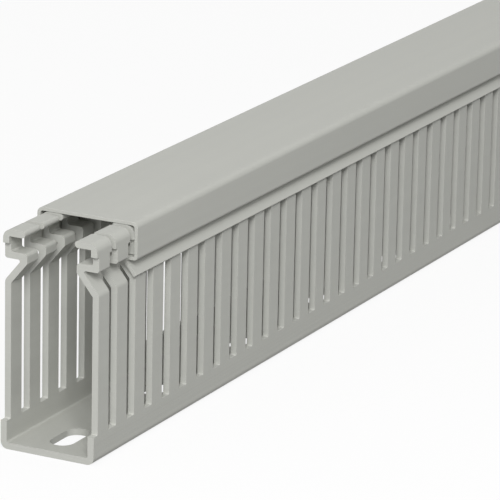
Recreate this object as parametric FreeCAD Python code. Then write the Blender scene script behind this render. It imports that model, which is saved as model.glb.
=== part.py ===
import FreeCAD, Part

import math
import os

# Slotted cable trunking: a channel with comb-like side walls and a clip-on cover that is pushed
# back a little from the near end. Millimetres. X runs across, Y along the length (the near end is
# at -Y), Z up from the surface the channel is fixed to. The origin is the middle of the underside.

# Channel: one extruded and punched length
length = 500.0              # sold length, cut in the middle of a slot at both ends
width = 28.9                # over the outer faces of the side walls
height = 61.7               # underside to the top of the finger heads
wall = 1.9                  # one thickness for the floor, the walls and the heads
base_corner_radius = 2.1    # outer corners along the bottom
inner_corner_radius = 0.6   # where the floor meets the walls

# Fingers and the slots between them
pitch = 10.0                # finger to finger
slot_width = 4.3            # open gap between two fingers
slot_floor = 8.0            # height of the unbroken wall below the slots
mouth_width = 2.1           # narrower gap between the wide upper jaws of the heads
jaw_height = 3.9            # height of the wide upper jaw at the top of each head

# Head on a leaning neck, like a letter C open to the inside, with a wide upper jaw
head_height = 8.35          # underside of the head to its top
neck_rise = 6.2             # height of the leaning neck below the head
lean_angle = 39.5           # lean of the neck, in degrees from upright
throat_width = 15.2         # clear width between the two heads
neck_bend_radius = 2.0      # outer side of the bend
crease_radius = 0.5         # outer corner between the neck and the underside of the head
head_top_radius = 2.5       # outer top edge of the head
head_toe_radius = 0.8       # outer bottom edge of the head
root_radius = 1.0           # inner edge where the neck meets the head
top_flat_count = 4          # flats that make the rounding of a head's outer top edge
edge_flat_count = 2         # flats that make each smaller rounding of a finger
bend_flat_count = 1         # flats that make the shallow bend below the neck

# Oblong fixing holes along the middle of the floor
hole_width = 7.0
hole_length = 15.0
hole_spacing = 50.0
hole_setback = 12.5         # near end to the centre of the first hole

# Cover: one extruded length, as long as the channel
cover_length = 500.0
cover_wall = 1.0
cover_setback = 20.9        # near end of the channel to the near end of the cover
side_clearance = 0.1        # between a head's outer face and the cover's wall
top_clearance = 0.1         # between the heads and the cover's plate
hook_clearance = 0.25       # between the heads' underside or neck and the cover's hook
cover_top_radius = 1.75     # outer edges along the top
cover_foot_radius = 1.0     # outer edge where the wall turns inwards
hook_tip_radius = 0.5       # innermost edge of the hook, next to the neck
lip_setback = 0.2           # from the cover's outer face to the edge of its flared lip

# Places worked out from the sizes above
half_width = width / 2.0
lean = math.radians(lean_angle)
inward_rise = math.tan(lean)                # inward travel of the neck for each unit of height
head_bottom = height - head_height
bend_height = head_bottom - neck_rise       # where the upright wall starts to lean inwards
near_end = -length / 2.0
finger_count = int(round(length / pitch))
cover_half_width = half_width + side_clearance + cover_wall
cover_inner = half_width + side_clearance
cover_underside = height + top_clearance
cover_top = cover_underside + cover_wall
same_spot = 1e-6                            # ends closer than this are one point


def point(x, z):
    return FreeCAD.Vector(x, 0.0, z)


def points_on_arc(centre, start, end, flats):
    """Points from start to end round the centre, the ends of the given number of equal flats."""
    first = start - centre
    last = end - centre
    turn = first.getAngle(last)
    points = []
    for index in range(flats + 1):
        part = turn * index / flats
        points.append(centre + first * (math.sin(turn - part) / math.sin(turn))
                      + last * (math.sin(part) / math.sin(turn)))
    return points


def corner_edges(before, here, after, radius, flats):
    """Where the rounding of a corner starts and ends, and its edges: one arc, or a few flats."""
    if radius <= 0.0:
        return here, here, []
    to_before = (before - here).normalize()
    to_after = (after - here).normalize()
    half_angle = to_before.getAngle(to_after) / 2.0
    start = here + to_before * (radius / math.tan(half_angle))
    end = here + to_after * (radius / math.tan(half_angle))
    middle_way = (to_before + to_after).normalize()
    centre = here + middle_way * (radius / math.sin(half_angle))
    if flats:
        return start, end, Part.makePolygon(points_on_arc(centre, start, end, flats)).Edges
    crown = centre - middle_way * radius
    return start, end, [Part.Arc(start, crown, end).toShape()]


def outline(corners):
    """Closed wire through corners given as (x, z, radius, flats). A radius above 0 rounds the
    corner, with a true arc where flats is 0."""
    spots = [point(x, z) for x, z, radius, flats in corners]
    edges = []
    last = None
    for index, (x, z, radius, flats) in enumerate(corners):
        after = spots[(index + 1) % len(spots)]
        start, end, rounding = corner_edges(spots[index - 1], spots[index], after, radius, flats)
        if last is None:
            first = start
        elif last.distanceToPoint(start) > same_spot:
            edges.append(Part.makeLine(last, start))
        edges.extend(rounding)
        last = end
    if last.distanceToPoint(first) > same_spot:
        edges.append(Part.makeLine(last, first))
    return Part.Wire(edges)


def extrude_along_length(corners, start, distance):
    profile = Part.Face(outline(corners))
    solid = profile.extrude(FreeCAD.Vector(0.0, distance, 0.0))
    solid.translate(FreeCAD.Vector(0.0, start, 0.0))
    return solid


def neck_outer(z, offset=0.0):
    """Distance from the middle to the neck's outer face at height z, or to a line offset from it."""
    return half_width - (z - bend_height) * inward_rise + offset / math.cos(lean)


def neck_height(x, offset=0.0):
    """Height at which the neck's outer face, or a line offset from it, is x from the middle."""
    return bend_height + (half_width + offset / math.cos(lean) - x) / inward_rise


def channel_half_section():
    """Right half of the section, from the middle of the underside round to the middle of the floor."""
    inner = half_width - wall
    throat = throat_width / 2.0
    nose = wall / 2.0
    return [
        (half_width, 0.0, base_corner_radius, 0),
        (half_width, bend_height, neck_bend_radius, bend_flat_count),
        (neck_outer(head_bottom), head_bottom, crease_radius, edge_flat_count),
        (half_width, head_bottom, head_toe_radius, edge_flat_count),
        (half_width, height, head_top_radius, top_flat_count),
        (throat, height, nose, edge_flat_count),
        (throat, height - wall, nose, edge_flat_count),
        (inner, height - wall, 0.0, 0),
        (inner, head_bottom + wall, 0.0, 0),
        (throat, head_bottom + wall, root_radius, edge_flat_count),
        (throat, neck_height(throat, -wall), 0.0, 0),
        (inner, neck_height(inner, -wall), 0.0, 0),
        (inner, wall, inner_corner_radius, 0),
    ]


def cover_half_section():
    """Right half of the cover's section, outer face first, then back along the inner face."""
    hook_top = head_bottom - hook_clearance
    hook_bottom = hook_top - cover_wall
    inner_gap = hook_clearance
    outer_gap = hook_clearance + cover_wall
    lip_outer_x = cover_half_width - lip_setback
    lip_outer_z = neck_height(lip_outer_x, outer_gap)
    lip_inner_x = lip_outer_x - cover_wall * math.cos(lean)
    lip_inner_z = lip_outer_z - cover_wall * math.sin(lean)
    return [
        (cover_half_width, cover_top, cover_top_radius, 0),
        (cover_half_width, hook_bottom, cover_foot_radius, 0),
        (neck_outer(hook_bottom, outer_gap), hook_bottom, 0.0, 0),
        (lip_outer_x, lip_outer_z, 0.0, 0),
        (lip_inner_x, lip_inner_z, 0.0, 0),
        (neck_outer(hook_top, inner_gap), hook_top, hook_tip_radius, 0),
        (cover_inner, hook_top, 0.0, 0),
        (cover_inner, cover_underside, cover_top_radius - cover_wall, 0),
    ]


def both_halves(half):
    """The half section and its mirror image, as one closed run of corners."""
    mirrored = [(-x, z, radius, flats) for x, z, radius, flats in reversed(half)]
    return half + mirrored


def slot_cutter(centre):
    """Punch for one slot in both walls: wide between the fingers, narrow between the upper jaws."""
    shoulder = height - jaw_height
    reach = half_width + wall
    half_slot = slot_width / 2.0
    half_mouth = mouth_width / 2.0
    heights = [
        (half_slot, slot_floor),
        (half_slot, shoulder),
        (half_mouth, shoulder),
        (half_mouth, height + wall),
    ]
    right = [FreeCAD.Vector(-reach, centre + y, z) for y, z in heights]
    left = [FreeCAD.Vector(-reach, centre - y, z) for y, z in reversed(heights)]
    face = Part.Face(Part.makePolygon(right + left + right[:1]))
    return face.extrude(FreeCAD.Vector(2.0 * reach, 0.0, 0.0))


def hole_cutter(centre):
    """Oblong fixing hole through the floor, its length along the channel."""
    radius = hole_width / 2.0
    straight = (hole_length - hole_width) / 2.0
    near = centre - straight
    far = centre + straight
    edges = [
        Part.makeLine(FreeCAD.Vector(radius, near, 0.0), FreeCAD.Vector(radius, far, 0.0)),
        Part.Arc(
            FreeCAD.Vector(radius, far, 0.0),
            FreeCAD.Vector(0.0, far + radius, 0.0),
            FreeCAD.Vector(-radius, far, 0.0),
        ).toShape(),
        Part.makeLine(FreeCAD.Vector(-radius, far, 0.0), FreeCAD.Vector(-radius, near, 0.0)),
        Part.Arc(
            FreeCAD.Vector(-radius, near, 0.0),
            FreeCAD.Vector(0.0, near - radius, 0.0),
            FreeCAD.Vector(radius, near, 0.0),
        ).toShape(),
    ]
    cutter = Part.Face(Part.Wire(edges)).extrude(FreeCAD.Vector(0.0, 0.0, 3.0 * wall))
    cutter.translate(FreeCAD.Vector(0.0, 0.0, -wall))
    return cutter


def fixing_holes():
    """One hole in every spacing, as far as whole holes fit in the length."""
    room = length - hole_setback - hole_length / 2.0 - wall
    count = int(room // hole_spacing) + 1
    return [hole_cutter(near_end + hole_setback + index * hole_spacing) for index in range(count)]


def make_channel():
    body = extrude_along_length(both_halves(channel_half_section()), near_end, length)
    slots = [slot_cutter(near_end + index * pitch) for index in range(finger_count + 1)]
    return body.cut(Part.makeCompound(slots + fixing_holes()))


def make_cover():
    start = near_end + cover_setback
    return extrude_along_length(both_halves(cover_half_section()), start, cover_length)


def save(shape, name):
    solid = shape.Solids[0]
    solid.exportStep("parts/" + name + ".step")
    box = solid.BoundBox
    print(name, "solids", len(shape.Solids), "valid", solid.isValid(), "faces", len(solid.Faces))
    print("  X", round(box.XMin, 2), round(box.XMax, 2), "Y", round(box.YMin, 2), round(box.YMax, 2),
          "Z", round(box.ZMin, 2), round(box.ZMax, 2), "cm3", round(solid.Volume / 1000.0, 2))


os.makedirs("parts", exist_ok=True)
save(make_channel(), "channel")
save(make_cover(), "cover")
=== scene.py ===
# %% [markdown]
# Slotted cable trunking for a control cabinet: a grey plastic channel whose side walls are punched
# into fingers, and a cover that clips over the heads of the fingers. Both are long extrusions, so
# almost everything about them is one section drawn across and carried along the length. The packed
# model comes first, because every size and place below is set against it.

import math

import bmesh
import bpy
from mathutils import Euler, Matrix, Vector


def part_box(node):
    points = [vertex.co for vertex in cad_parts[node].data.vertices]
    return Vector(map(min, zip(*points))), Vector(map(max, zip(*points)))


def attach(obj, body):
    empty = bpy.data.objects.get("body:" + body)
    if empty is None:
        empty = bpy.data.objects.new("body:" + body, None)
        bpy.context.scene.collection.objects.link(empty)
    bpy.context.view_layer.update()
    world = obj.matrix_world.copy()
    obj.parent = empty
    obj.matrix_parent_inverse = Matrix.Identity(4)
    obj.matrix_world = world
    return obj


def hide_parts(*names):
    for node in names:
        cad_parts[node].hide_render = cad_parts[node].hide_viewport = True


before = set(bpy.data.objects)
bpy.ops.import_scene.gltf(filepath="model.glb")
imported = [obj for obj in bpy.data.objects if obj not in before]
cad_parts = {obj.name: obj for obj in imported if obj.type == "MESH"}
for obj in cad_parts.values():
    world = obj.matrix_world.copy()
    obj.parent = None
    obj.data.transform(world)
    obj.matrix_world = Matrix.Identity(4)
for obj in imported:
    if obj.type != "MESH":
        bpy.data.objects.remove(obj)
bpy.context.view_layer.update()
channel_low, channel_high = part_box("channel")
cover_low, cover_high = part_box("cover")
print("channel from", channel_low, "to", channel_high)
print("cover from", cover_low, "to", cover_high)

# %% [markdown]
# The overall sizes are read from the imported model. The smaller ones are written down in
# millimetres, as on a maker's drawing, and turned into metres, Blender's unit, with one factor. A
# size that belongs to one step only is given at that step.

# %% Main sizes of the channel
MM = 0.001
half_width = channel_high.x
height = channel_high.z
near_end = channel_low.y
far_end = channel_high.y
wall = 1.9 * MM
head_height = 8.35 * MM
neck_rise = 6.2 * MM
lean = math.radians(39.5)
throat_width = 15.2 * MM
head_bottom = height - head_height
bend_height = head_bottom - neck_rise
print("the neck starts to lean at", round(bend_height / MM, 2), "mm")
print("the head starts at", round(head_bottom / MM, 2), "mm")

# %% [markdown]
# A die never leaves a sharp corner, so each corner of a section is given as x, z and a radius, and
# short steps are put round every radius. A bevel modifier could round the corners too, but then
# each one would get the same width, and here they differ.

# %% Round one corner
STEP_ANGLE = math.radians(12.0)


def rounded_corner(before, here, after, radius):
    """Points round one corner, from the side that comes from before to the side to after."""
    if radius <= 0.0:
        return [here]
    to_before = (before - here).normalized()
    to_after = (after - here).normalized()
    half_angle = to_before.angle(to_after) / 2.0
    start = here + to_before * (radius / math.tan(half_angle))
    end = here + to_after * (radius / math.tan(half_angle))
    centre = here + (to_before + to_after).normalized() * (radius / math.sin(half_angle))
    turn = math.pi - 2.0 * half_angle
    steps = max(1, math.ceil(turn / STEP_ANGLE))
    points = []
    for index in range(steps + 1):
        part = turn * index / steps
        first = (start - centre) * (math.sin(turn - part) / math.sin(turn))
        last = (end - centre) * (math.sin(part) / math.sin(turn))
        points.append(centre + first + last)
    return points


square_corner = rounded_corner(Vector((0.0, 1.0)), Vector((0.0, 0.0)), Vector((1.0, 0.0)), 0.1)
print("points round a square corner:", len(square_corner))

# %% [markdown]
# A whole section is a closed run of such corners. The die is the same on both sides, so only the
# right half is ever written down, and the left half is its mirror image in the opposite order.

# %% Round a whole section
SAME_SPOT = 1e-7


def rounded_outline(corners):
    """All points of a closed section whose corners are (x, z, radius)."""
    spots = [Vector((x, z)) for x, z, radius in corners]
    points = []
    for index, (x, z, radius) in enumerate(corners):
        after = spots[(index + 1) % len(spots)]
        for spot in rounded_corner(spots[index - 1], spots[index], after, radius):
            if not points or (spot - points[-1]).length > SAME_SPOT:
                points.append(spot)
    return points


def both_halves(half):
    """The right half of a section and its mirror image."""
    return half + [(-x, z, radius) for x, z, radius in reversed(half)]


square = both_halves([(1.0, 1.0, 0.1), (1.0, -1.0, 0.1)])
print("points in a rounded square:", len(rounded_outline(square)))

# %% [markdown]
# The neck of each finger leans inwards, and the hook of the cover snaps under it. Channel and
# cover both have faces that run along this lean at some distance from it. Two small functions give
# any point on such a line, which keeps the faces parallel without any measuring by eye.

# %% Follow the lean of the neck
def neck_outer(z, offset=0.0):
    """How far the neck's outer face, or a line offset from it, is from the middle at height z."""
    return half_width - (z - bend_height) * math.tan(lean) + offset / math.cos(lean)


def neck_height(x, offset=0.0):
    """Height at which the neck's outer face, or a line offset from it, is x from the middle."""
    return bend_height + (half_width + offset / math.cos(lean) - x) / math.tan(lean)


print("the neck leans inwards by", round((half_width - neck_outer(head_bottom)) / MM, 2), "mm")

# %% [markdown]
# The section of the channel: a flat floor, two upright walls, the leaning neck and a head like a
# letter C that is open to the middle. It could be a flat mesh drawn by hand, but a list of corners
# keeps every wall at its true thickness. The upper jaw of the head ends in a round nose. Its two
# roundings stay a hair smaller than half the wall, so that their points don't fall together.

# %% Draw the section of the channel
base_corner_radius = 2.1 * MM
inner_corner_radius = 0.6 * MM
neck_bend_radius = 2.0 * MM
crease_radius = 0.5 * MM
head_top_radius = 2.5 * MM
head_toe_radius = 0.8 * MM
root_radius = 1.0 * MM
jaw_root_radius = 0.6 * MM
die_radius = 0.25 * MM
nose_gap = 0.001 * MM

inner = half_width - wall
throat = throat_width / 2.0
nose = wall / 2.0 - nose_gap
channel_half = [
    (half_width, 0.0, base_corner_radius),
    (half_width, bend_height, neck_bend_radius),
    (neck_outer(head_bottom), head_bottom, crease_radius),
    (half_width, head_bottom, head_toe_radius),
    (half_width, height, head_top_radius),
    (throat, height, nose),
    (throat, height - wall, nose),
    (inner, height - wall, die_radius),
    (inner, head_bottom + wall, jaw_root_radius),
    (throat, head_bottom + wall, root_radius),
    (throat, neck_height(throat, -wall), die_radius),
    (inner, neck_height(inner, -wall), die_radius),
    (inner, wall, inner_corner_radius),
]
channel_section = rounded_outline(both_halves(channel_half))
print("points in the channel's section:", len(channel_section))

# %% [markdown]
# The section of the cover: a plate with two turned-down sides. Each side folds back under the head
# of the finger as a hook and then flares out again over the leaning neck, which guides the cover
# on when it is pressed down. All of it has one thickness, so each inner corner is set off from an
# outer one by the wall.

# %% Draw the section of the cover
cover_half_width = cover_high.x
cover_top = cover_high.z
cover_wall = 1.0 * MM
hook_clearance = 0.25 * MM
cover_top_radius = 1.75 * MM
cover_foot_radius = 1.0 * MM
cover_crease_radius = 0.4 * MM
hook_tip_radius = 0.5 * MM
lip_setback = 0.2 * MM
cover_die_radius = 0.12 * MM

hook_top = head_bottom - hook_clearance
hook_bottom = hook_top - cover_wall
outer_gap = hook_clearance + cover_wall
cover_inner = cover_half_width - cover_wall
lip_x = cover_half_width - lip_setback
lip_z = neck_height(lip_x, outer_gap)
cover_half = [
    (cover_half_width, cover_top, cover_top_radius),
    (cover_half_width, hook_bottom, cover_foot_radius),
    (neck_outer(hook_bottom, outer_gap), hook_bottom, cover_crease_radius),
    (lip_x, lip_z, cover_die_radius),
    (lip_x - cover_wall * math.cos(lean), lip_z - cover_wall * math.sin(lean), cover_die_radius),
    (neck_outer(hook_top, hook_clearance), hook_top, hook_tip_radius),
    (cover_inner, hook_top, cover_die_radius),
    (cover_inner, cover_top - cover_wall, cover_top_radius - cover_wall),
]
cover_section = rounded_outline(both_halves(cover_half))
print("points in the cover's section:", len(cover_section))

# %% [markdown]
# The plastic is rigid PVC, coloured light stone grey all through, and matt. Its fine effects come
# from noise textures, which need no image and stay sharp at any distance. Each effect is shared by
# several finishes, so it becomes a node group with one input for its strength and two outputs: a
# height for bumps, and a tone that makes the colour a little lighter or darker. All the groups
# have the same ends, so one helper makes them.

# %% Start a node group
GROUP_ENDS = (("Strength", "INPUT"), ("Height", "OUTPUT"), ("Tone", "OUTPUT"))


def effect_group(name):
    """A group with a strength and two outputs, without the nodes between, and both its ends."""
    group = bpy.data.node_groups.new(name, "ShaderNodeTree")
    for label, side in GROUP_ENDS:
        socket = group.interface.new_socket(name=label, in_out=side, socket_type="NodeSocketFloat")
        if side == "INPUT":
            socket.default_value = 1.0
    return group, group.nodes.new("NodeGroupInput"), group.nodes.new("NodeGroupOutput")


print("sockets of every group:", GROUP_ENDS)

# %% [markdown]
# Values in a material are added and multiplied by Math nodes. Placing each one by hand would take
# four lines every time, so one helper takes two sockets, or a socket and a number, and gives back
# the result. A second one ends a group: it multiplies both effects by the strength.

# %% Calculate with sockets
def calculate(tree, operation, first, second):
    """The result of a Math node between two sockets, or a socket and a number."""
    node = tree.nodes.new("ShaderNodeMath")
    node.operation = operation
    for index, value in enumerate((first, second)):
        if isinstance(value, (int, float)):
            node.inputs[index].default_value = value
        else:
            tree.links.new(value, node.inputs[index])
    return node.outputs[0]


def put_out(group, given, result, heights, tones):
    """Sends the heights and the tones, times the strength, to the outputs of the group."""
    for label, value in (("Height", heights), ("Tone", tones)):
        scaled = calculate(group, "MULTIPLY", value, given.outputs["Strength"])
        group.links.new(scaled, result.inputs[label])


print("a group ends with", put_out.__name__, "and is worked out with", calculate.__name__)

# %% [markdown]
# Every effect here starts as noise. Most of a noise texture lies between 0.3 and 0.7, so that
# range is spread over -1 to 1, which makes it go up and down by the same amount. The Mapping node
# multiplies the object's own coordinates. A small factor along an axis squeezes the coordinates,
# and that draws the pattern out along the axis.

# %% Noise from -1 to 1
NOISE_LOW = 0.3
NOISE_HIGH = 0.7


def signed_noise(group, squeeze, scale, detail):
    """Noise from -1 to 1 over the object's own coordinates, which are first squeezed."""
    place = group.nodes.new("ShaderNodeTexCoord")
    mapping = group.nodes.new("ShaderNodeMapping")
    mapping.inputs["Scale"].default_value = squeeze
    noise = group.nodes.new("ShaderNodeTexNoise")
    noise.inputs["Scale"].default_value = scale
    noise.inputs["Detail"].default_value = detail
    level = group.nodes.new("ShaderNodeMapRange")
    level.inputs["From Min"].default_value = NOISE_LOW
    level.inputs["From Max"].default_value = NOISE_HIGH
    level.inputs["To Min"].default_value = -1.0
    level.inputs["To Max"].default_value = 1.0
    group.links.new(place.outputs["Object"], mapping.inputs["Vector"])
    group.links.new(mapping.outputs["Vector"], noise.inputs["Vector"])
    group.links.new(noise.outputs["Fac"], level.inputs["Value"])
    return level.outputs["Result"]


print("noise from", NOISE_LOW, "to", NOISE_HIGH, "is spread over -1 to 1")

# %% [markdown]
# Moulded or extruded plastic has a very fine grain, well under a millimetre, and cloudy patches a
# few centimetres wide where the colour isn't quite even. Both are plain noise, the same in every
# direction, at two scales.

# %% Group: grain of the plastic
def make_grain_group():
    group, given, result = effect_group("plastic grain")
    fine = signed_noise(group, squeeze=(1.0, 1.0, 1.0), scale=2600.0, detail=3.0)
    cloud = signed_noise(group, squeeze=(1.0, 1.0, 1.0), scale=45.0, detail=4.0)
    put_out(group, given, result, fine, cloud)
    return group


grain_group = make_grain_group()
print("nodes in the grain:", len(grain_group.nodes))

# %% [markdown]
# The die draws faint lines into the skin, along the whole length. They could be a stripe texture,
# but stripes are too regular. Noise with its coordinates squeezed along Y gives long streaks of
# all widths: narrow ones that only show as height, and broad ones that also change the tone.

# %% Group: lines drawn by the die
NARROW_SHARE = 0.6


def make_line_group():
    group, given, result = effect_group("die lines")
    narrow = signed_noise(group, squeeze=(1.0, 0.004, 1.0), scale=1400.0, detail=2.0)
    broad = signed_noise(group, squeeze=(1.0, 0.006, 1.0), scale=260.0, detail=2.0)
    shallow = calculate(group, "MULTIPLY", narrow, NARROW_SHARE)
    put_out(group, given, result, calculate(group, "ADD", shallow, broad), broad)
    return group


line_group = make_line_group()
print("nodes in the die lines:", len(line_group.nodes))

# %% [markdown]
# A punch or a saw leaves fine marks that run the way it went, and patches where the plastic tore
# instead of being cut. So the first noise is drawn out along X, the way of the punch, and the
# second one a little along Z, the height of the fingers.

# %% Group: marks of the punch and the saw
def make_cut_group():
    group, given, result = effect_group("cut marks")
    across = signed_noise(group, squeeze=(0.05, 1.0, 1.0), scale=2200.0, detail=3.0)
    patches = signed_noise(group, squeeze=(1.0, 1.0, 0.3), scale=420.0, detail=3.0)
    put_out(group, given, result, across, patches)
    return group


cut_group = make_cut_group()
print("nodes in the cut marks:", len(cut_group.nodes))

# %% [markdown]
# Each finish then needs only its colour, its gloss and how strongly it shows the shared effects.
# The tones move the base colour and the gloss by a few percent, and the heights go through one
# bump node. The numbers that are the same all over, such as the refraction of PVC, are set on the
# Principled shader itself, which stays in the material.

# %% Build a plastic finish
GRAIN_STRENGTH = 0.6
COLOUR_CHANGE = 0.02
GLOSS_CHANGE = 0.03
BUMP_STRENGTH = 0.5


def around(tree, tone, amount, middle):
    """A value that lies at middle and goes up and down with a tone, by the amount."""
    value = calculate(tree, "MULTIPLY_ADD", tone, amount)
    value.node.inputs[2].default_value = middle
    return value


def tinted(tree, colour, tone):
    """The colour, made a little lighter or darker by a tone."""
    tint = tree.nodes.new("ShaderNodeVectorMath")
    tint.operation = "SCALE"
    tint.inputs[0].default_value = colour
    tree.links.new(around(tree, tone, COLOUR_CHANGE, 1.0), tint.inputs["Scale"])
    return tint.outputs["Vector"]


def place_group(tree, group, strength):
    node = tree.nodes.new("ShaderNodeGroup")
    node.node_tree = group
    node.inputs["Strength"].default_value = strength
    return node


def plastic(name, colour, roughness, marks, marks_strength, bump_height):
    """Matt plastic with grain, plus the marks of the die or of the cut."""
    material = bpy.data.materials.new(name)
    material.use_nodes = True
    tree = material.node_tree
    shader = tree.nodes["Principled BSDF"]
    shader.inputs["IOR"].default_value = 1.5
    shader.inputs["Specular IOR Level"].default_value = 0.3
    grain = place_group(tree, grain_group, GRAIN_STRENGTH)
    marked = place_group(tree, marks, marks_strength)
    tone = calculate(tree, "ADD", grain.outputs["Tone"], marked.outputs["Tone"])
    tree.links.new(tinted(tree, colour, tone), shader.inputs["Base Color"])
    tree.links.new(around(tree, tone, GLOSS_CHANGE, roughness), shader.inputs["Roughness"])
    bump = tree.nodes.new("ShaderNodeBump")
    bump.inputs["Strength"].default_value = BUMP_STRENGTH
    bump.inputs["Distance"].default_value = bump_height
    heights = calculate(tree, "ADD", grain.outputs["Height"], marked.outputs["Height"])
    tree.links.new(heights, bump.inputs["Height"])
    tree.links.new(bump.outputs["Normal"], shader.inputs["Normal"])
    return material


print("the colour changes by", COLOUR_CHANGE * 100.0, "percent for a whole tone")

# %% [markdown]
# Skin and cut differ. The skin that came out of the die is the smoother and darker one, and a cut
# face is rougher and a touch lighter. The cover comes from a die of its own: its skin is a little
# glossier and its lines are shallower, which tells the two pieces apart.

# %% Mix the four finishes
stone_grey = (0.475, 0.480, 0.445)
cut_grey = (0.500, 0.505, 0.470)
channel_skin = plastic("channel skin", stone_grey, 0.60, line_group, 1.2, 0.02 * MM)
channel_cut = plastic("channel cut", cut_grey, 0.70, cut_group, 1.0, 0.03 * MM)
cover_skin = plastic("cover skin", stone_grey, 0.58, line_group, 1.2, 0.015 * MM)
cover_cut = plastic("cover cut", cut_grey, 0.70, cut_group, 1.0, 0.03 * MM)
print("finishes:", [m.name for m in (channel_skin, channel_cut, cover_skin, cover_cut)])

# %% [markdown]
# A section becomes a solid bar by carrying it along Y, as the extruder does. It could be a curve
# with a bevel profile, but a plain mesh with one ring of points at each end is simpler to punch
# afterwards. Faces made from a list may point either way, so they are all turned outwards.

# %% Carry the channel's section along its length
def turn_outwards(mesh):
    """Turns all faces outwards."""
    work = bmesh.new()
    work.from_mesh(mesh)
    bmesh.ops.recalc_face_normals(work, faces=work.faces)
    work.to_mesh(mesh)
    work.free()


def carried_mesh(name, section, start, end):
    """Mesh of a bar with the given section between two places along Y."""
    count = len(section)
    vertices = [(p.x, start, p.y) for p in section] + [(p.x, end, p.y) for p in section]
    sides = [(i, (i + 1) % count, (i + 1) % count + count, i + count) for i in range(count)]
    caps = [tuple(range(count))[::-1], tuple(range(count, 2 * count))]
    mesh = bpy.data.meshes.new(name)
    mesh.from_pydata(vertices, [], sides + caps)
    turn_outwards(mesh)
    return mesh


def new_object(name, data):
    made = bpy.data.objects.new(name, data)
    bpy.context.scene.collection.objects.link(made)
    return made


bar = new_object("bar", carried_mesh("bar", channel_section, near_end, far_end))
print("faces of the bar before punching:", len(bar.data.polygons))

# %% [markdown]
# On the real line the slots are punched right through both walls of the bar. Each punch is wide
# between the fingers and narrow between their heads, which leaves the wide upper jaw that keeps
# cables in. The trunking is cut off in the middle of a slot at both ends, so the ends get a slot
# too.

# %% Outline of a slot
pitch = 10.0 * MM
slot_width = 4.3 * MM
slot_floor = 8.0 * MM
mouth_width = 2.1 * MM
jaw_height = 3.9 * MM
punch_corner_radius = 0.4 * MM

shoulder = height - jaw_height
slot_half = [
    (slot_width / 2.0, slot_floor, punch_corner_radius),
    (slot_width / 2.0, shoulder, punch_corner_radius),
    (mouth_width / 2.0, shoulder, 0.0),
    (mouth_width / 2.0, height + wall, 0.0),
]
slot_outline = rounded_outline(both_halves(slot_half))
slot_count = int(round((far_end - near_end) / pitch)) + 1
print("slots, with the two half ones at the ends:", slot_count)

# %% [markdown]
# The floor has a row of oblong holes for screws. Their length lets the trunking be moved a little
# when the screws are already in the panel. An oblong is two half circles joined by straight lines,
# and a list of points round both gives it directly.

# %% Outline of a fixing hole
hole_width = 7.0 * MM
hole_length = 15.0 * MM
hole_spacing = 50.0 * MM
hole_setback = 12.5 * MM
hole_count = 10
HALF_CIRCLE_STEPS = 12

hole_radius = hole_width / 2.0
hole_straight = (hole_length - hole_width) / 2.0
hole_outline = []
for centre, first_angle in ((hole_straight, 0.0), (-hole_straight, math.pi)):
    for index in range(HALF_CIRCLE_STEPS + 1):
        angle = first_angle + math.pi * index / HALF_CIRCLE_STEPS
        across = hole_radius * math.cos(angle)
        hole_outline.append(Vector((across, centre + hole_radius * math.sin(angle))))
print("points round a fixing hole:", len(hole_outline))

# %% [markdown]
# All the punches go into one mesh of separate prisms, so that one boolean can take them out
# together. Each prism reaches past the plastic on both sides, because faces that lie exactly on
# each other leave a boolean unsure what is inside.

# %% Make one mesh of all the punches
def add_prism(work, ring, shift):
    """Adds a closed prism between a ring of points and the same ring moved by shift."""
    low = [work.verts.new(p) for p in ring]
    high = [work.verts.new(p + shift) for p in ring]
    count = len(ring)
    for index in range(count):
        following = (index + 1) % count
        work.faces.new((low[index], low[following], high[following], high[index]))
    work.faces.new(low[::-1])
    work.faces.new(high)


def punches_mesh():
    """Slot punches through both walls, and hole punches through the floor."""
    work = bmesh.new()
    reach = half_width + wall
    for index in range(slot_count):
        middle = near_end + index * pitch
        ring = [Vector((-reach, middle + p.x, p.y)) for p in slot_outline]
        add_prism(work, ring, Vector((2.0 * reach, 0.0, 0.0)))
    for index in range(hole_count):
        middle = near_end + hole_setback + index * hole_spacing
        ring = [Vector((p.x, middle + p.y, -wall)) for p in hole_outline]
        add_prism(work, ring, Vector((0.0, 0.0, 3.0 * wall)))
    bmesh.ops.recalc_face_normals(work, faces=work.faces)
    mesh = bpy.data.meshes.new("punches")
    work.to_mesh(mesh)
    work.free()
    return mesh


punches = new_object("punches", punches_mesh())
print("faces of all the punches:", len(punches.data.polygons))

# %% [markdown]
# A cut face looks a little different from the skin, so the bar has both finishes and the punches
# carry the cut one. The boolean hands it over to every face that it makes. The exact solver is
# slower than the fast one, but more reliable in thin walls like these. Its result is written to a
# mesh of its own, and the bar and the punches are thrown away.

# %% Punch the bar
def take_out(body, tool, name):
    """The mesh that is left of the body when the tool has been taken out of it."""
    boolean = body.modifiers.new("punching", "BOOLEAN")
    boolean.operation = "DIFFERENCE"
    boolean.solver = "EXACT"
    boolean.material_mode = "TRANSFER"
    boolean.object = tool
    graph = bpy.context.evaluated_depsgraph_get()
    mesh = bpy.data.meshes.new_from_object(body.evaluated_get(graph), depsgraph=graph)
    mesh.name = name
    bpy.data.objects.remove(body)
    bpy.data.objects.remove(tool)
    return mesh


bar.data.materials.append(channel_skin)
bar.data.materials.append(channel_cut)
punches.data.materials.append(channel_cut)
channel_mesh = take_out(bar, punches, "channel_body")
print("faces of the punched channel:", len(channel_mesh.polygons))

# %% [markdown]
# Two last touches are the same on both pieces. The sawn ends face along Y and get the cut finish.
# And every edge loses its sharpness, as it does from handling: a bevel a tenth of a millimetre
# wide catches a fine line of light. It leaves out edges that turn by less than 28 degrees, such as
# the steps round a radius. Weighted normals then keep the flat faces beside it looking flat.

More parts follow.
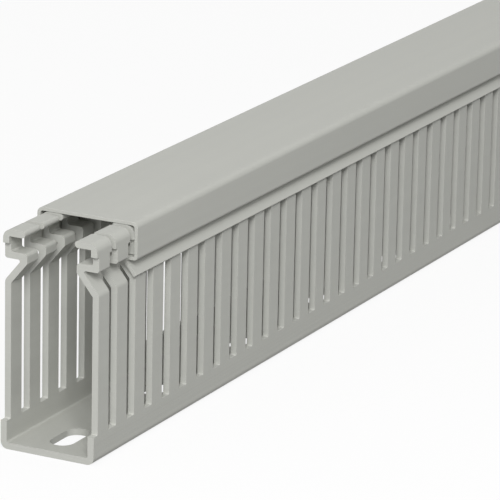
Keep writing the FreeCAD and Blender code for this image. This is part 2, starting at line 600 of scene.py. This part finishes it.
# %% Finish the ends and the edges
CUT_SLOT = 1
END_FACING = 0.99
EDGE_ANGLE = math.radians(28.0)


def mark_cut_ends(mesh):
    """Gives the cut finish to the faces at the two sawn ends."""
    marked = 0
    for face in mesh.polygons:
        if abs(face.normal.y) > END_FACING:
            face.material_index = CUT_SLOT
            marked += 1
    return marked


def ease_edges(piece, width):
    """Takes the sharpness off every edge, as handling and the tool's wear do."""
    piece.data.shade_smooth()
    bevel = piece.modifiers.new("eased edges", "BEVEL")
    bevel.width = width
    bevel.segments = 2
    bevel.limit_method = "ANGLE"
    bevel.angle_limit = EDGE_ANGLE
    bevel.miter_outer = "MITER_ARC"
    weighted = piece.modifiers.new("clean shading", "WEIGHTED_NORMAL")
    weighted.keep_sharp = True
    weighted.weight = 100


marked_on_channel = mark_cut_ends(channel_mesh)
print("faces across the channel that get the cut finish:", marked_on_channel)

# %% [markdown]
# The channel is now a piece. It stands for its node of the imported model, which is hidden, and
# moves with the same body.

# %% Make the channel
channel_piece = new_object("slotted_channel", channel_mesh)
ease_edges(channel_piece, 0.12 * MM)
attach(channel_piece, "channel")
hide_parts("channel")
print("the channel has", len(channel_mesh.vertices), "points before its edges are eased")

# %% [markdown]
# The cover needs no punching: its section is carried along and both ends get the cut finish. Its
# wall is only half as thick as the channel's, so its edges are eased a little less.

# %% Make the cover
cover_mesh = carried_mesh("cover_body", cover_section, cover_low.y, cover_high.y)
cover_mesh.materials.append(cover_skin)
cover_mesh.materials.append(cover_cut)
marked_on_cover = mark_cut_ends(cover_mesh)
cover_piece = new_object("clip_on_cover", cover_mesh)
ease_edges(cover_piece, 0.08 * MM)
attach(cover_piece, "cover")
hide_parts("cover")
print("faces of the cover:", len(cover_mesh.polygons), "of which sawn:", marked_on_cover)

# %% [markdown]
# The studio is plain: a large pale floor under a white world. Seen directly, the floor is almost
# white and keeps the soft shadow of the object. The rays that light the object meet a plain grey
# instead, so that the floor throws little light up into the slots. The Light Path node tells the
# two kinds of ray apart. A lamp strong enough to make the floor white would bleach the plastic
# too.

# %% Helpers for the studio
SEEN_RAYS = ("Is Camera Ray", "Is Glossy Ray", "Is Transmission Ray")


def seen_directly(tree):
    """1 for the kinds of ray that see the studio, 0 for rays that light the object."""
    path = tree.nodes.new("ShaderNodeLightPath")
    straight, mirrored, through = (path.outputs[kind] for kind in SEEN_RAYS)
    either = calculate(tree, "MAXIMUM", straight, mirrored)
    return calculate(tree, "MAXIMUM", either, through)


def grey_shader(tree, grey):
    """A matt surface of an even grey that takes shadows."""
    shader = tree.nodes.new("ShaderNodeBsdfDiffuse")
    shader.inputs["Color"].default_value = (grey, grey, grey, 1.0)
    return shader.outputs["BSDF"]


def mixed_shader(tree, share, first, second):
    """The first shader where the share is 0 and the second where it is 1."""
    mix = tree.nodes.new("ShaderNodeMixShader")
    if isinstance(share, float):
        mix.inputs["Fac"].default_value = share
    else:
        tree.links.new(share, mix.inputs["Fac"])
    tree.links.new(first, mix.inputs[1])
    tree.links.new(second, mix.inputs[2])
    return mix.outputs["Shader"]


print("rays that see the studio:", SEEN_RAYS)

# %% [markdown]
# The floor that is seen is mostly an even white glow. The small matt share in it is what takes the
# shadow, and a larger share would make the shadow stronger. The floor lies a hair under the
# trunking, because two faces at the same height would flicker.

# %% Lay the floor
SHOWN_GREY = 0.95
GLOW_SHARE = 0.85
LIGHTING_GREY = 0.30


def make_floor_material():
    material = bpy.data.materials.new("studio floor")
    material.use_nodes = True
    tree = material.node_tree
    tree.nodes.remove(tree.nodes["Principled BSDF"])
    white = tree.nodes.new("ShaderNodeEmission")
    white.inputs["Strength"].default_value = 1.0
    matt = grey_shader(tree, SHOWN_GREY)
    shown = mixed_shader(tree, GLOW_SHARE, matt, white.outputs["Emission"])
    lighting = grey_shader(tree, LIGHTING_GREY)
    look = mixed_shader(tree, seen_directly(tree), lighting, shown)
    tree.links.new(look, tree.nodes["Material Output"].inputs["Surface"])
    return material


floor_reach = 6.0
floor_drop = 0.02 * MM
floor_corners = [
    (x * floor_reach, y * floor_reach, 0.0) for x, y in ((-1, -1), (1, -1), (1, 1), (-1, 1))
]
floor_mesh = bpy.data.meshes.new("floor")
floor_mesh.from_pydata(floor_corners, [], [(0, 1, 2, 3)])
floor_mesh.materials.append(make_floor_material())
floor = new_object("floor", floor_mesh)
floor.location.z = -floor_drop
print("the floor is", 2.0 * floor_reach, "m wide")

# %% [markdown]
# The world is seen as pure white, but lights the object at half of that. Without the difference,
# either the background would be grey or the shaded sides would be as light as the others.

# %% Fill in with the world
def make_world(fill):
    world = bpy.data.worlds.new("studio")
    world.use_nodes = True
    tree = world.node_tree
    back = tree.nodes["Background"]
    back.inputs["Color"].default_value = (1.0, 1.0, 1.0, 1.0)
    level = tree.nodes.new("ShaderNodeMapRange")
    level.inputs["To Min"].default_value = fill
    level.inputs["To Max"].default_value = 1.0
    tree.links.new(seen_directly(tree), level.inputs["Value"])
    tree.links.new(level.outputs["Result"], back.inputs["Strength"])
    return world


bpy.context.scene.world = make_world(0.50)
print("the world is", bpy.context.scene.world.name)

# %% [markdown]
# A large soft lamp, a little to the right of the near end and above it, makes the cut faces and
# the top the lightest and leaves the long side a step darker. A weak one lower down reaches in
# under the cover. Both look at the near half of the trunking, the part that the picture shows.

# %% Set up the lamps
lit_spot = Vector((0.0, -0.12, 0.03))
lamp_distance = 2.2
lamp_size = 0.8


def soft_lamp(name, azimuth, elevation, power):
    """A square lamp that looks at the lit spot. Azimuth 0 is in front of the near end and 90 is on
    its right; both angles are in degrees."""
    light = bpy.data.lights.new(name, "AREA")
    light.shape = "SQUARE"
    light.size = lamp_size
    light.energy = power
    lamp = new_object(name, light)
    turn = math.radians(azimuth)
    rise = math.radians(elevation)
    level = math.cos(rise)
    away = Vector((math.sin(turn) * level, -math.cos(turn) * level, math.sin(rise)))
    lamp.location = lit_spot + away * lamp_distance
    lamp.rotation_euler = away.to_track_quat("Z", "Y").to_euler()
    return lamp


key_lamp = soft_lamp("key light", azimuth=29.0, elevation=36.0, power=33.5)
front_lamp = soft_lamp("low front light", azimuth=15.0, elevation=15.0, power=5.6)
print("key lamp at", key_lamp.location, "and front lamp at", front_lamp.location)

# %% [markdown]
# The camera stands far away with a long lens, which is why the trunking tapers so little towards
# its far end. Its place and its turn were worked out from the edges of the fingers, so that the
# picture lines up with the photograph. Standard view colours show each finish as it is written
# above.

# %% Set up the camera
camera_data = bpy.data.cameras.new("camera")
camera_data.lens = 282.9
camera_data.sensor_width = 36.0
camera_data.clip_start = 0.05
camera_data.clip_end = 50.0
camera = new_object("camera", camera_data)
camera_place = Vector((501.87, -1113.39, 358.12)) * MM
camera_azimuth = math.radians(27.094)
camera_elevation = math.radians(16.678)
camera_roll = math.radians(1.197)
level_turn = Euler((math.pi / 2.0 - camera_elevation, 0.0, camera_azimuth)).to_matrix()
full_turn = level_turn @ Matrix.Rotation(camera_roll, 3, "Z")
camera.matrix_world = Matrix.Translation(camera_place) @ full_turn.to_4x4()
bpy.context.scene.camera = camera
bpy.context.scene.view_settings.view_transform = "Standard"
print("the camera is", round(camera_place.length, 3), "m from the middle of the trunking")
